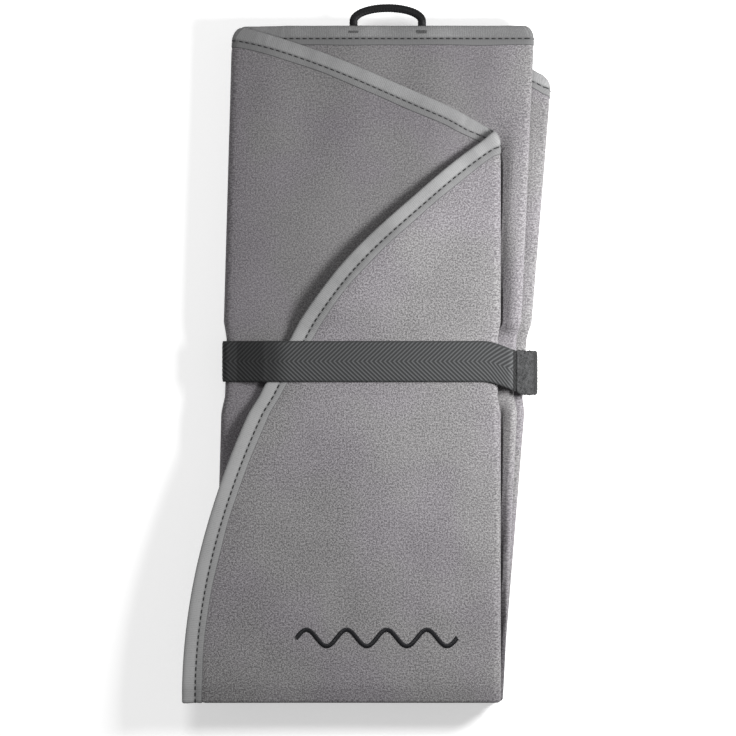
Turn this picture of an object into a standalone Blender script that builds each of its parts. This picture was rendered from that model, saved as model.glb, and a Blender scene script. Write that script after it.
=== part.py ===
"""Folded quick dry towel with a bound edge, a hang loop and a hook-and-loop webbing strap.

The towel is one sheet. It is folded in half along its length, then pleated into six panels
that lie on each other. The frame is in metres: the bundle lies on Z = 0, Y runs along it
towards the hang loop, and the origin is under the middle of the whole object's box.
"""
import math

import bmesh
import bpy
import numpy as np

# Cloth and the way it is folded
CLOTH_THICKNESS = 0.0019
LAYER_PITCH = 0.00235
PANEL_COUNT = 6
BINDING_WIDTH = 0.012
FIT_GAP = 0.0003
BINDING_GAP = 0.0009
ROW_CREEP = 0.0002

# The bundle, measured over the outside of the folds
BUNDLE_BOTTOM_Y = -0.2141
TOWEL_HALF_WIDTH = 0.4148
FRONT_TIP_X = -0.1135
BACK_TIP_X = -0.0860
# Outer face of each pleat, at the bundle's bottom end and at its top end
PLEAT_FACES_BOTTOM = (0.0814, -0.0950, 0.0830, -0.0935, 0.0824)
PLEAT_FACES_TOP = (0.0814, -0.0833, 0.1026, -0.0820, 0.1160)

# The sheet's two ends, laid flat: distance from the tip and half width there. The front end's
# half widths are scaled to meet the towel's own
FRONT_END_OUTLINE = ((0.0, 0.0), (0.010, 0.088), (0.042, 0.180), (0.090, 0.259), (0.145, 0.313),
                     (0.192, 0.349), (0.243, 0.373), (0.305, 0.399), (0.352, 0.4125),
                     (0.390, 0.4148))
BACK_END_DEPTH = 0.260
BACK_END_ROUNDNESS = 2.3

# How finely the sheet is cut into columns, panel by panel, from the front tip to the back
PANEL_STEPS = (9, 6, 3, 3, 5, 6)
FRONT_CROWDING = 1.2
BACK_CROWDING = 1.8

# The binding follows the cloth's columns between these distances from the two tips, and is
# cut square to the edge outside them
BAND_FRONT = 0.165
BAND_FRONT_MARGIN = 0.012
BAND_BACK = 0.120
BAND_BACK_MARGIN = 0.010
BAND_TIP_CLEAR = 0.015
BAND_TAIL_CLEAR = 0.030
BAND_STEP = 0.018
BAND_STRAP_STEP = 0.004

# Webbing strap and its hook-and-loop tab
STRAP_WIDTH = 0.025
STRAP_THICKNESS = 0.0015
STRAP_GAP = 0.00045
STRAP_Y = -0.0052
STRAP_SINK_TOP = 0.0008
STRAP_PINCH = 0.0020
STRAP_BLEND = 0.010
STRAP_BEND = 0.0030
CORNER_EASE = 0.0015
KNEE_EASE = 0.0009
PLEAT_EASE = 0.0002
STRAP_END_X = 0.0903
STRAP_HINGE_X = -0.0800
STRAP_STEP = 0.012
CLOSURE_STEP = 0.002
KNEE_HEIGHT_SHARE = 0.56
HIP_Z = 0.0090
SHOULDER_REACH = (0.0030, 0.0015)
TAB_WIDTH = 0.028
TAB_THICKNESS = 0.0017
TAB_DROOP = 0.007
TAB_DROOP_START_X = 0.070
TAB_DROOP_END_X = 0.098
TAB_END_Z = 0.0065
LOOP_PATCH_THICKNESS = 0.0012
HOOK_PATCH_THICKNESS = 0.0010
PATCH_WIDTH = 0.023
PATCH_INSET = 0.0015

# Hang loop of round cord
LOOP_CORD_RADIUS = 0.0023
LOOP_FOOT_X = (-0.0088, 0.0332)
LOOP_RISE = 0.01312
LOOP_ROUNDNESS = 2.6
# The cord's round ends: how far each ring lies beyond the foot, and its size, both in radii
LOOP_END_RINGS = ((0.96, 0.28), (0.7, 0.72))
BARTACK_SIZE = (0.0060, 0.0022, 0.0004)
BARTACK_INSET = 0.0040

# Satin stitched wave near the bundle's bottom
WAVE_CENTER = (0.0055, -0.1740)
WAVE_LENGTH = 0.098
WAVE_CRESTS = 4
WAVE_STEPS_PER_CREST = 12
WAVE_HEIGHT = 0.0050
WAVE_STROKE = 0.0032
WAVE_THICKNESS = 0.0004

# Worked out from the sizes above
FOLD_RADIUS = LAYER_PITCH
HALF_RADIUS = LAYER_PITCH / 2
STACK_HEIGHT = 2 * PANEL_COUNT * LAYER_PITCH
FACE_OFFSET = FOLD_RADIUS + HALF_RADIUS + CLOTH_THICKNESS / 2
TURN_LENGTH = math.pi * HALF_RADIUS / 2
PLEAT_LENGTH = math.pi * FOLD_RADIUS
HALF_FOLD_Y = BUNDLE_BOTTOM_Y + HALF_RADIUS + CLOTH_THICKNESS / 2
SEAT_DROP = (LAYER_PITCH - CLOTH_THICKNESS) / 2
STRAP_SINK_BOTTOM = STRAP_THICKNESS + STRAP_GAP
GRIP_Y = STRAP_Y - TAB_DROOP / 2
GRIP_HALF = (TAB_WIDTH + TAB_DROOP) / 2 + FIT_GAP


def clear_scene():
    for old in list(bpy.data.objects):
        bpy.data.objects.remove(old, do_unlink=True)


def smooth_step(value, low, high):
    """0 below low, 1 above high, with a level start and end between them."""
    t = np.clip((np.asarray(value, dtype=float) - low) / (high - low), 0.0, 1.0)
    return t * t * (3 - 2 * t)


def strap_grip(y):
    """1 under the strap and its drooping tab, falling evenly to 0 beside them."""
    return np.clip((GRIP_HALF + STRAP_BLEND - np.abs(y - GRIP_Y)) / STRAP_BLEND, 0.0, 1.0)


def height_at(z, y):
    """A height in the loose stack, pressed together under the strap."""
    grip = strap_grip(y)
    low = STRAP_SINK_BOTTOM * grip
    loose = STACK_HEIGHT - 2 * SEAT_DROP
    high = loose - STRAP_SINK_TOP * grip
    return low + (z - SEAT_DROP) * (high - low) / loose


def pinched_x(x, y):
    """X after the strap has drawn the bundle's sides in towards the middle."""
    half = (PLEAT_FACES_BOTTOM[0] - PLEAT_FACES_BOTTOM[1]) / 2
    return x * (1 - STRAP_PINCH / half * strap_grip(y))


def pleat_center_x(pleat, y):
    """Where a pleat turns before the strap pinches it. It leans with Y."""
    share = (y - BUNDLE_BOTTOM_Y) / TOWEL_HALF_WIDTH
    face = PLEAT_FACES_BOTTOM[pleat] + (PLEAT_FACES_TOP[pleat] - PLEAT_FACES_BOTTOM[pleat]) * share
    side = 1 if pleat % 2 == 0 else -1
    return face - side * FACE_OFFSET


def panel_start(panel, y):
    """Distance along the sheet, from the front tip, where a panel's flat part starts."""
    start = np.zeros_like(y)
    for k in range(panel):
        start = start + panel_width(k, y) + PLEAT_LENGTH
    return start


def panel_width(panel, y):
    """Width of a panel's flat part. The last panel runs out to the sheet's straight end."""
    if panel == 0:
        return pleat_center_x(0, y) - FRONT_TIP_X
    if panel < PANEL_COUNT - 1:
        return np.abs(pleat_center_x(panel, y) - pleat_center_x(panel - 1, y))
    return sheet_length() - panel_start(panel, y)


def sheet_length():
    """Tip to tip along the sheet's middle line, which is the bundle's bottom fold."""
    y = np.array([BUNDLE_BOTTOM_Y])
    last = PANEL_COUNT - 1
    return float((panel_start(last, y) + pleat_center_x(last - 1, y) - BACK_TIP_X)[0])


def across_to_y(across):
    """Y of a point that lies this far from the sheet's middle line, past its half fold."""
    return HALF_FOLD_Y + np.maximum(np.abs(across) - TURN_LENGTH, 0.0)


def fold(along, across):
    """Fold the flat sheet: along runs from the front tip, across from its middle line.

    The half fold is a half turn about the middle line, and it gives a point its offset from
    the middle of its panel. The pleats then carry that offset round half turns, so the path
    of the panels' middles is a row of straights joined by half circles.
    """
    angle = np.clip(across / HALF_RADIUS, -math.pi / 2, math.pi / 2)
    offset = HALF_RADIUS * np.sin(angle)
    y = across_to_y(across) - HALF_RADIUS * np.cos(angle)
    x = np.empty_like(y)
    z = np.empty_like(y)
    for panel in range(PANEL_COUNT):
        way = 1 if panel % 2 == 0 else -1
        start = panel_start(panel, y)
        width = panel_width(panel, y)
        level = STACK_HEIGHT - (2 * panel + 1) * LAYER_PITCH
        on_panel = along >= start - 1e-9
        origin = np.full_like(y, FRONT_TIP_X) if panel == 0 else pleat_center_x(panel - 1, y)
        x = np.where(on_panel, origin + way * (along - start), x)
        z = np.where(on_panel, level + way * offset, z)
        if panel < PANEL_COUNT - 1:
            turn = np.clip((along - start - width) / FOLD_RADIUS, 0.0, math.pi)
            on_pleat = along >= start + width
            radius = FOLD_RADIUS + way * offset
            x = np.where(on_pleat, pleat_center_x(panel, y) + way * radius * np.sin(turn), x)
            z = np.where(on_pleat, level - FOLD_RADIUS + radius * np.cos(turn), z)
    return np.stack([pinched_x(x, y), y, height_at(z, y)], axis=-1)


def smooth_outline(points, steps):
    """Catmull-Rom curve through points, mirrored across the middle line at its first one."""
    pts = np.array(points)
    before = pts[1] * np.array([1.0, -1.0])
    after = 2 * pts[-1] - pts[-2]
    pts = np.vstack([before, pts, after])
    t = np.linspace(0, 1, steps, endpoint=False)[:, None]
    pieces = []
    for a, b, c, d in zip(pts[:-3], pts[1:-2], pts[2:-1], pts[3:]):
        curve = 2 * b + (c - a) * t + (2 * a - 5 * b + 4 * c - d) * t**2
        pieces.append((curve + (3 * b - a - 3 * c + d) * t**3) / 2)
    return np.vstack(pieces + [pts[-2:-1]])


def half_outline():
    """The sheet's edge from front tip to back tip: rounded, straight, then a superellipse."""
    front = smooth_outline(FRONT_END_OUTLINE, 24)
    front[:, 1] *= TOWEL_HALF_WIDTH / FRONT_END_OUTLINE[-1][1]
    angle = np.linspace(math.pi / 2, 0, 160)
    power = 2 / BACK_END_ROUNDNESS
    back_x = sheet_length() - BACK_END_DEPTH + BACK_END_DEPTH * np.cos(angle) ** power
    back_y = TOWEL_HALF_WIDTH * np.sin(angle) ** power
    return np.vstack([front, np.stack([back_x, back_y], axis=-1)])


def left_normals(path):
    """Unit normals of a flat path, to the left of the way it runs."""
    tangent = np.gradient(path, axis=0)
    tangent /= np.linalg.norm(tangent, axis=1)[:, None]
    return np.stack([-tangent[:, 1], tangent[:, 0]], axis=-1)


def travel_along(path):
    """Length travelled along a path at each of its points."""
    return np.concatenate([[0], np.cumsum(np.linalg.norm(np.diff(path, axis=0), axis=1))])


def inset_outline(outline, distance):
    """The outline moved inwards by a distance along its normals."""
    moved = outline - distance * left_normals(outline)
    return moved[moved[:, 1] > 0]


def half_width_at(outline, along):
    """Half width of the sheet at a distance from its front tip."""
    return np.interp(along, outline[:, 0], outline[:, 1], left=0.0, right=0.0)


def column_along(column, y):
    """Distance along the sheet for a column (panel or pleat, share of it) at a given Y."""
    kind, index, share = column
    start = panel_start(index, y)
    width = panel_width(index, y)
    if kind == "panel":
        return start + width * share
    return start + width + PLEAT_LENGTH * share


def column_reach(column, outline):
    """Where a column meets an outline, found by stepping between its Y and its length."""
    across = np.array([TOWEL_HALF_WIDTH * 0.95])
    for _ in range(24):
        found = half_width_at(outline, column_along(column, across_to_y(across)))
        across = (across + found) / 2
    return float(across[0])


def sheet_columns(first_share, last_share):
    """Columns of the sheet, in order: closer together where the edge curves."""
    columns = []
    for panel in range(PANEL_COUNT):
        low = first_share if panel == 0 else 0.0
        high = last_share if panel == PANEL_COUNT - 1 else 1.0
        steps = np.linspace(0, 1, PANEL_STEPS[panel] + 1)
        if panel == 0:
            steps = steps**FRONT_CROWDING
        if panel == PANEL_COUNT - 1:
            steps = 1 - steps[::-1] ** BACK_CROWDING
        shares = low + (high - low) * steps
        columns += [("panel", panel, float(share)) for share in shares]
        if panel < PANEL_COUNT - 1:
            columns += [("pleat", panel, share) for share in (0.25, 0.5, 0.75)]
    return columns


def new_collection(name):
    collection = bpy.data.collections.new(name)
    bpy.context.scene.collection.children.link(collection)
    return collection


def make_material(name, color, roughness, metallic=0.0):
    material = bpy.data.materials.new(name)
    material.use_nodes = True
    shader = material.node_tree.nodes["Principled BSDF"]
    shader.inputs["Base Color"].default_value = (*color, 1.0)
    shader.inputs["Roughness"].default_value = roughness
    shader.inputs["Metallic"].default_value = metallic
    return material


def grid_sheet(name, places, closed=False):
    """A grid primitive whose points are moved to places, an array of rows by columns by XYZ."""
    rows, columns = places.shape[:2]
    bm = bmesh.new()
    bmesh.ops.create_grid(bm, x_segments=columns - 1, y_segments=rows - 1, size=1.0)
    for vert in bm.verts:
        column = round((vert.co.x + 1) / 2 * (columns - 1))
        row = round((vert.co.y + 1) / 2 * (rows - 1))
        vert.co = places[row, column]
    if closed:
        bmesh.ops.remove_doubles(bm, verts=bm.verts, dist=1e-6)
    mesh = bpy.data.meshes.new(name)
    bm.to_mesh(mesh)
    bm.free()
    return mesh


def add_piece(name, mesh, material, thickness=0.0):
    """Link a mesh as a named piece, with its wall from a Solidify modifier."""
    piece = bpy.data.objects.new(name, mesh)
    PARTS.objects.link(piece)
    piece.data.materials.append(material)
    if thickness > 0:
        wall = piece.modifiers.new("wall", "SOLIDIFY")
        wall.thickness = thickness
        wall.offset = 0.0
        wall.use_even_offset = True
        wall.use_quality_normals = True
    return piece


def row_stations(edge):
    """Rows up one column: at fixed places, and gathered at the column's end past its edge."""
    middle = GRIP_Y - HALF_FOLD_Y + TURN_LENGTH
    steps = GRIP_HALF + STRAP_BLEND * np.array([1.0, 0.5, 0.0])
    band = np.concatenate([middle - steps, middle + steps[::-1]])
    below = np.linspace(TURN_LENGTH, band[0], 3)[:-1]
    above = np.linspace(band[-1], TOWEL_HALF_WIDTH, 3)[1:]
    rows = np.concatenate([below, band, above])
    spare = ROW_CREEP * np.arange(len(rows))[::-1]
    return np.minimum(rows, edge - spare)


def crossing_columns(outline, panel):
    """Columns of an end panel where the sheet's edge crosses one of the strap's rows."""
    columns = []
    half = len(outline) // 2
    line = outline[:half] if panel == 0 else outline[:half:-1]
    for across in row_stations(math.inf)[2:-1]:
        along = np.interp(across, line[:, 1], line[:, 0])
        y = across_to_y(np.array([across]))
        share = float(((along - panel_start(panel, y)) / panel_width(panel, y))[0])
        if 0.01 < share < 0.99:
            columns.append(("panel", panel, share))
    return columns


def build_cloth(outline, material):
    """The sheet inside its binding: one column for each step of the folded path."""
    reach = inset_outline(outline, BINDING_WIDTH + BINDING_GAP)
    y = np.array([BUNDLE_BOTTOM_Y])
    margin = BINDING_WIDTH + BINDING_GAP + ROW_CREEP
    first = margin / float(panel_width(0, y)[0])
    last = 1 - margin / float(panel_width(PANEL_COUNT - 1, y)[0])
    turn = np.linspace(0, TURN_LENGTH, 4)[:-1]
    columns = sheet_columns(first, last)
    columns = crossing_columns(reach, 0) + columns + crossing_columns(reach, PANEL_COUNT - 1)
    columns.sort(key=lambda column: (column[1], column[0] == "pleat", column[2]))
    places = []
    for column in columns:
        rows = row_stations(column_reach(column, reach))
        half = np.concatenate([turn, rows])
        across = np.concatenate([-half[:0:-1], half])
        along = column_along(column, across_to_y(across))
        places.append(fold(along, across))
    mesh = grid_sheet("towel_cloth", np.stack(places, axis=1))
    return add_piece("towel_cloth", mesh, material, CLOTH_THICKNESS)


def build_binding(outline, material):
    """The tape round the sheet: one closed band, cut square to the edge near the tips."""
    outer, inner = [], []
    inset = inset_outline(outline, BINDING_WIDTH)
    tip_steps = np.array([0.0, TURN_LENGTH / 3, TURN_LENGTH * 2 / 3, TURN_LENGTH])
    length = sheet_length()
    for column in sheet_columns(0.0, 1.0):
        across = column_reach(column, outline)
        along = float(column_along(column, across_to_y(np.array([across])))[0])
        outer.append((along, across))
        inner_across = column_reach(column, inset)
        inner_along = float(column_along(column, across_to_y(np.array([inner_across])))[0])
        inner.append((inner_along, inner_across))
    outer, inner = np.array(outer), np.array(inner)
    square = square_band(outline)
    low, high = BAND_FRONT, length - BAND_BACK
    keep = (outer[:, 0] > low) & (outer[:, 0] < high)
    front = [pair for pair in square if pair[0][0] <= low - BAND_FRONT_MARGIN]
    back = [pair for pair in square if pair[0][0] >= high + BAND_BACK_MARGIN]
    tip = [((0.0, t), (BINDING_WIDTH, t)) for t in tip_steps]
    tail = [((length, t), (length - BINDING_WIDTH, t)) for t in tip_steps[::-1]]
    middle = list(zip(map(tuple, outer[keep]), map(tuple, inner[keep])))
    half = np.array(tip + front + middle + back + tail)
    other = half[::-1][1:-1] * np.array([1.0, -1.0])
    band = np.concatenate([half, other, half[:1]])
    rows = [fold(band[:, k, 0], band[:, k, 1]) for k in (0, 1)]
    middle_row = fold(*(band.mean(axis=1).T))
    mesh = grid_sheet("edge_binding", np.stack([rows[0], middle_row, rows[1]]), closed=True)
    return add_piece("edge_binding", mesh, material, CLOTH_THICKNESS)


def square_band(outline):
    """Pairs of outer and inner points square to the edge, closer together by the strap."""
    inward = -left_normals(outline)
    travel = travel_along(outline)
    places = [BAND_TIP_CLEAR]
    while places[-1] < travel[-1] - BAND_TAIL_CLEAR:
        y = across_to_y(np.interp(places[-1], travel, outline[:, 1]))
        near_strap = abs(y - GRIP_Y) < GRIP_HALF + STRAP_BLEND + BAND_TIP_CLEAR
        places.append(places[-1] + (BAND_STRAP_STEP if near_strap else BAND_STEP))
    pairs = []
    for place in places:
        k = int(np.searchsorted(travel, place))
        point = outline[k]
        partner = point + BINDING_WIDTH * inward[k]
        if partner[1] > TURN_LENGTH:
            pairs.append((tuple(point), tuple(partner)))
    return pairs


def rounded_path(corners, radius, step=math.radians(15)):
    """A polyline with each inner corner replaced by an arc of a radius."""
    pts = [np.array(c, dtype=float) for c in corners]
    path = [pts[0]]
    for before, corner, after in zip(pts[:-2], pts[1:-1], pts[2:]):
        way_in = (corner - before) / np.linalg.norm(corner - before)
        way_out = (after - corner) / np.linalg.norm(after - corner)
        bend = math.atan2(way_in[0] * way_out[1] - way_in[1] * way_out[0], way_in @ way_out)
        back = radius * math.tan(abs(bend) / 2)
        start = corner - way_in * back
        side = np.array([-way_in[1], way_in[0]]) * math.copysign(1, bend)
        center = start + side * radius
        count = max(2, math.ceil(abs(bend) / step))
        for k in range(count + 1):
            turn = bend * k / count
            arm = start - center
            path.append(center + np.array([arm[0] * math.cos(turn) - arm[1] * math.sin(turn),
                                           arm[0] * math.sin(turn) + arm[1] * math.cos(turn)]))
    path.append(pts[-1])
    return np.array(path)


def offset_path(path, distance):
    """A path moved to its left by a distance."""
    return path + distance * left_normals(path)


def part_of_path(path, low, high):
    """The stretch of a path between two travelled lengths."""
    travel = travel_along(path)
    inside = (travel > low + 1e-4) & (travel < high - 1e-4)
    places = np.concatenate([[low], travel[inside], [high]])
    return np.stack([np.interp(places, travel, path[:, k]) for k in (0, 1)], axis=-1)


def travelled_at(path, x, after=0.0):
    """Length travelled along a path when it passes X, past a first stretch."""
    travel = travel_along(path)
    side = path[:, 0] - x
    for k in range(len(path) - 1):
        if side[k] * side[k + 1] <= 0 and travel[k + 1] > after:
            return travel[k] + (travel[k + 1] - travel[k]) * side[k] / (side[k] - side[k + 1])
    return travel[-1]


def droop_at(x):
    """How far the strap's middle slips towards the bundle's bottom at its tab end."""
    return TAB_DROOP * smooth_step(x, TAB_DROOP_START_X, TAB_DROOP_END_X)


def strip_along(name, path, width, thickness, material):
    """Webbing: a flat strip that follows a path in XZ."""
    path = subdivide(path, STRAP_STEP)
    middle = STRAP_Y - droop_at(path[:, 0])
    rows = [np.stack([path[:, 0], middle + side * width / 2, path[:, 1]], axis=-1)
            for side in (-1, 0, 1)]
    return add_piece(name, grid_sheet(name, np.stack(rows)), material, thickness)


def subdivide(path, longest):
    """Add points so that no step of a path is longer than a length."""
    places = [path[0]]
    for a, b in zip(path[:-1], path[1:]):
        count = max(1, math.ceil(np.linalg.norm(b - a) / longest))
        places += [a + (b - a) * k / count for k in range(1, count + 1)]
    return np.array(places)


def strap_geometry(outline):
    """Corner points in XZ of the two paths that the strap takes round the bundle."""
    low_y = np.array([STRAP_Y - STRAP_WIDTH / 2])
    high_y = np.array([STRAP_Y + STRAP_WIDTH / 2])
    across = low_y - HALF_FOLD_Y + TURN_LENGTH
    middle = len(outline) // 2
    front_along = np.interp(across, outline[:middle, 1], outline[:middle, 0])
    back_half = outline[:middle:-1]
    back_along = np.interp(across, back_half[:, 1], back_half[:, 0])
    last = PANEL_COUNT - 1
    grip_y = np.array([GRIP_Y])
    front_x = float(pinched_x(front_along + FRONT_TIP_X, grip_y)[0])
    back_x = pleat_center_x(last - 1, low_y) - back_along + panel_start(last, low_y)
    back_x = float(pinched_x(back_x, grip_y)[0])
    left = [float(pinched_x(pleat_center_x(k, low_y) - FACE_OFFSET, grip_y)[0]) for k in (1, 3)]
    right = [float(pinched_x(pleat_center_x(k, high_y) + FACE_OFFSET, grip_y)[0])
             for k in (0, 2, 4)]
    top, second, raised, low = (float(height_at(np.array([z]), grip_y)[0]) for z in (
        STACK_HEIGHT - SEAT_DROP, STACK_HEIGHT - 2 * LAYER_PITCH - SEAT_DROP,
        2 * LAYER_PITCH + SEAT_DROP, SEAT_DROP))
    reach = STRAP_GAP + STRAP_THICKNESS / 2
    knee = (right[1] + KNEE_EASE, (top + low) * KNEE_HEIGHT_SHARE)
    hip = (right[2], HIP_Z)
    inner = [(STRAP_HINGE_X - STRAP_THICKNESS, second + reach),
             (left[0] - reach - PLEAT_EASE, second + reach),
             (left[1] - reach - PLEAT_EASE, raised - reach),
             (back_x - CORNER_EASE, low - reach),
             (hip[0] + reach, low - reach),
             (hip[0] + reach, hip[1]),
             (knee[0] + reach, knee[1]),
             (right[0] + SHOULDER_REACH[0], top - SHOULDER_REACH[1])]
    outer = [(STRAP_HINGE_X, second + reach), (front_x - CORNER_EASE, top + reach)]
    return inner, outer


def build_strap(outline, webbing, fuzzy, hooks):
    """The webbing in two runs that meet at the strap's hinge, with the tab's stack of layers."""
    inner_corners, outer_corners = strap_geometry(outline)
    inner = rounded_path(inner_corners, STRAP_BEND)
    strip_along("strap_back", inner, STRAP_WIDTH, STRAP_THICKNESS, webbing)

    # each layer of the closure lies on the one before, out from the back run's end
    stack = subdivide(inner, CLOSURE_STEP)[::-1]
    loop_out = (STRAP_THICKNESS + LOOP_PATCH_THICKNESS) / 2 + FIT_GAP
    hook_out = loop_out + (LOOP_PATCH_THICKNESS + HOOK_PATCH_THICKNESS) / 2 + FIT_GAP
    tab_out = hook_out + (HOOK_PATCH_THICKNESS + TAB_THICKNESS) / 2 + FIT_GAP
    tab = offset_path(stack, tab_out)
    tab_start = travelled_at(tab, STRAP_END_X)
    tab_end = travelled_at(tab[:, ::-1], TAB_END_Z, tab_start)
    strip_along("tab_backing", part_of_path(tab, tab_start, tab_end), TAB_WIDTH, TAB_THICKNESS,
                fuzzy)
    for name, out, thickness in (("loop_patch", loop_out, LOOP_PATCH_THICKNESS),
                                 ("hook_patch", hook_out, HOOK_PATCH_THICKNESS)):
        layer = offset_path(stack, out)
        low = tab_start + PATCH_INSET
        strip_along(name, part_of_path(layer, low, tab_end - 2 * PATCH_INSET), PATCH_WIDTH,
                    thickness, hooks)

    ends = part_of_path(tab, tab_start, tab_start + 0.001)
    way = (ends[-1] - ends[0]) / np.linalg.norm(ends[-1] - ends[0])
    meet = ends[0] - way * FIT_GAP
    level = outer_corners[-1][1]
    shoulder = meet + way * (level - meet[1]) / way[1]
    outer = rounded_path(outer_corners + [tuple(shoulder), tuple(meet)], STRAP_BEND)
    strip_along("strap_front", outer, STRAP_WIDTH, STRAP_THICKNESS, webbing)


def build_hang_loop(material):
    """A flat-topped arch of cord between two feet, with round ends that turn in the edge."""
    left, right = LOOP_FOOT_X
    edge_y = float(across_to_y(TOWEL_HALF_WIDTH))
    foot_y = edge_y + FIT_GAP + LOOP_CORD_RADIUS
    top_y = edge_y + LOOP_RISE - LOOP_CORD_RADIUS
    middle = (left + right) / 2
    half = (right - left) / 2
    z = STACK_HEIGHT - 5 * LAYER_PITCH - SEAT_DROP
    angles = np.linspace(0, math.pi, 17)
    power = 2 / LOOP_ROUNDNESS
    arch = [(middle - half * math.copysign(abs(math.cos(a)) ** power, math.cos(a)),
             foot_y + (top_y - foot_y) * math.sin(a) ** power) for a in angles]
    curve = bpy.data.curves.new("hang_loop", "CURVE")
    curve.dimensions = "3D"
    curve.bevel_depth = LOOP_CORD_RADIUS
    curve.bevel_resolution = 2
    curve.use_fill_caps = True
    before = [(left, foot_y - LOOP_CORD_RADIUS * drop, r) for drop, r in LOOP_END_RINGS]
    after = [(right, foot_y - LOOP_CORD_RADIUS * drop, r) for drop, r in LOOP_END_RINGS[::-1]]
    points = before + [(x, y, 1.0) for x, y in arch] + after
    spline = curve.splines.new("POLY")
    spline.points.add(len(points) - 1)
    for point, (x, y, radius) in zip(spline.points, points):
        point.co = (x, y, z, 1.0)
        point.radius = radius
    loop = bpy.data.objects.new("hang_loop", curve)
    PARTS.objects.link(loop)
    loop.data.materials.append(material)


def build_bartacks(material):
    """Two short bars of thread that sew the loop's feet into the binding."""
    y = float(across_to_y(TOWEL_HALF_WIDTH)) - BARTACK_INSET
    top = STACK_HEIGHT - 4 * LAYER_PITCH - 2 * SEAT_DROP
    for name, x in zip(("loop_bartack_left", "loop_bartack_right"), LOOP_FOOT_X):
        bm = bmesh.new()
        bmesh.ops.create_cube(bm, size=1.0)
        bmesh.ops.scale(bm, verts=bm.verts, vec=BARTACK_SIZE)
        mesh = bpy.data.meshes.new(name)
        bm.to_mesh(mesh)
        bm.free()
        bar = add_piece(name, mesh, material)
        bar.location = (x, y, top + FIT_GAP + BARTACK_SIZE[2] / 2)


def build_wave(material):
    """A raised wave of satin stitches, its stroke a constant height above and below a sine."""
    x0, y0 = WAVE_CENTER
    steps = WAVE_STEPS_PER_CREST * WAVE_CRESTS
    share = np.linspace(0, 1, steps + 1)
    x = x0 + WAVE_LENGTH * (share - 0.5)
    y = y0 + WAVE_HEIGHT * np.sin(2 * math.pi * WAVE_CRESTS * share)
    z = float(height_at(STACK_HEIGHT - SEAT_DROP, np.array([y0]))[0])
    z += FIT_GAP + WAVE_THICKNESS / 2
    rows = [np.stack([x, y + side * WAVE_STROKE / 2, np.full_like(x, z)], axis=-1)
            for side in (-1, 1)]
    add_piece("wave_embroidery", grid_sheet("wave_embroidery", np.stack(rows)), material,
              WAVE_THICKNESS)


clear_scene()
PARTS = new_collection("quick_dry_towel")
pile_grey = make_material("pile_grey", (0.24, 0.235, 0.24), 0.95)
binding_grey = make_material("binding_grey", (0.30, 0.30, 0.30), 0.85)
webbing_grey = make_material("webbing_grey", (0.055, 0.057, 0.06), 0.8)
fuzzy_grey = make_material("fuzzy_grey", (0.09, 0.092, 0.095), 0.95)
hook_black = make_material("hook_black", (0.02, 0.02, 0.021), 0.7)
cord_black = make_material("cord_black", (0.012, 0.012, 0.013), 0.6)
thread_black = make_material("thread_black", (0.015, 0.015, 0.017), 0.5)

edge_line = half_outline()
build_cloth(edge_line, pile_grey)
build_binding(edge_line, binding_grey)
build_strap(edge_line, webbing_grey, fuzzy_grey, hook_black)
build_hang_loop(cord_black)
build_bartacks(thread_black)
build_wave(thread_black)
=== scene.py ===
"""Looks of a quick dry towel folded into a flat bundle and held by a webbing strap.

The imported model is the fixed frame. Each section below makes one piece of the real towel, in
the order in which the towel is put together: cloth, binding, stitches, hang loop, strap, tab,
embroidery. Everything is in metres: the bundle lies on Z = 0 and Y runs towards the hang loop.
"""
import math

import bmesh
import bpy
import numpy as np
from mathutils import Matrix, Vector


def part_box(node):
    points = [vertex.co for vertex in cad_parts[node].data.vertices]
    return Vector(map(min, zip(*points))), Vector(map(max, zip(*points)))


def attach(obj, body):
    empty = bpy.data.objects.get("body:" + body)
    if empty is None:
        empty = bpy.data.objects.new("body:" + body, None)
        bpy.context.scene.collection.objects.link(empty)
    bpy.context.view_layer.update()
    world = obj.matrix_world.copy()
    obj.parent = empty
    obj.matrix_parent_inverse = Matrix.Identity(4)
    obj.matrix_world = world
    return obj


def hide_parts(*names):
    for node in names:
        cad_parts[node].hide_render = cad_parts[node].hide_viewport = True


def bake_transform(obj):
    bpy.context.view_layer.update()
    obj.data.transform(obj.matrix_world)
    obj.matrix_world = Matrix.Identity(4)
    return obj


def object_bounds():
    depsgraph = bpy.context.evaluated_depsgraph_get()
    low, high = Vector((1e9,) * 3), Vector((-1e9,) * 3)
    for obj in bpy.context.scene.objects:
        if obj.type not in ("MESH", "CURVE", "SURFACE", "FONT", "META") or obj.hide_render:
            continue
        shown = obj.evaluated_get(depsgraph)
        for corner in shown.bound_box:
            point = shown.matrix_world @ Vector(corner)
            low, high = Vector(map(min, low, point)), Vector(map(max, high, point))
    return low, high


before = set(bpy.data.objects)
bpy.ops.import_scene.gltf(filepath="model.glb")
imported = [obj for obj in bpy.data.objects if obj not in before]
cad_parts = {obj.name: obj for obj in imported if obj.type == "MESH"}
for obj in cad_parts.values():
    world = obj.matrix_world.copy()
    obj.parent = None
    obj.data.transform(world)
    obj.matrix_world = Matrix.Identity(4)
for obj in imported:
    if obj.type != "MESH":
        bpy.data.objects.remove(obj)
cad_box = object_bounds()

# ------------------------------------------------------------------ camera, light and table
# The bundle lies on a white light table and is seen from straight above through a long lens. One
# soft light stands close on the right, so the cloth brightens that way, and one stands far
# beyond the hang loop, so the shadow falls short below the bundle.
VIEW_WIDTH = 0.449
VIEW_DROP = 0.0092
TABLE_GLOW = 0.45
TABLE_HALF = 3.0
TABLE_GAP = 0.0004
LENS = 150.0
SENSOR = 36.0

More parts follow.
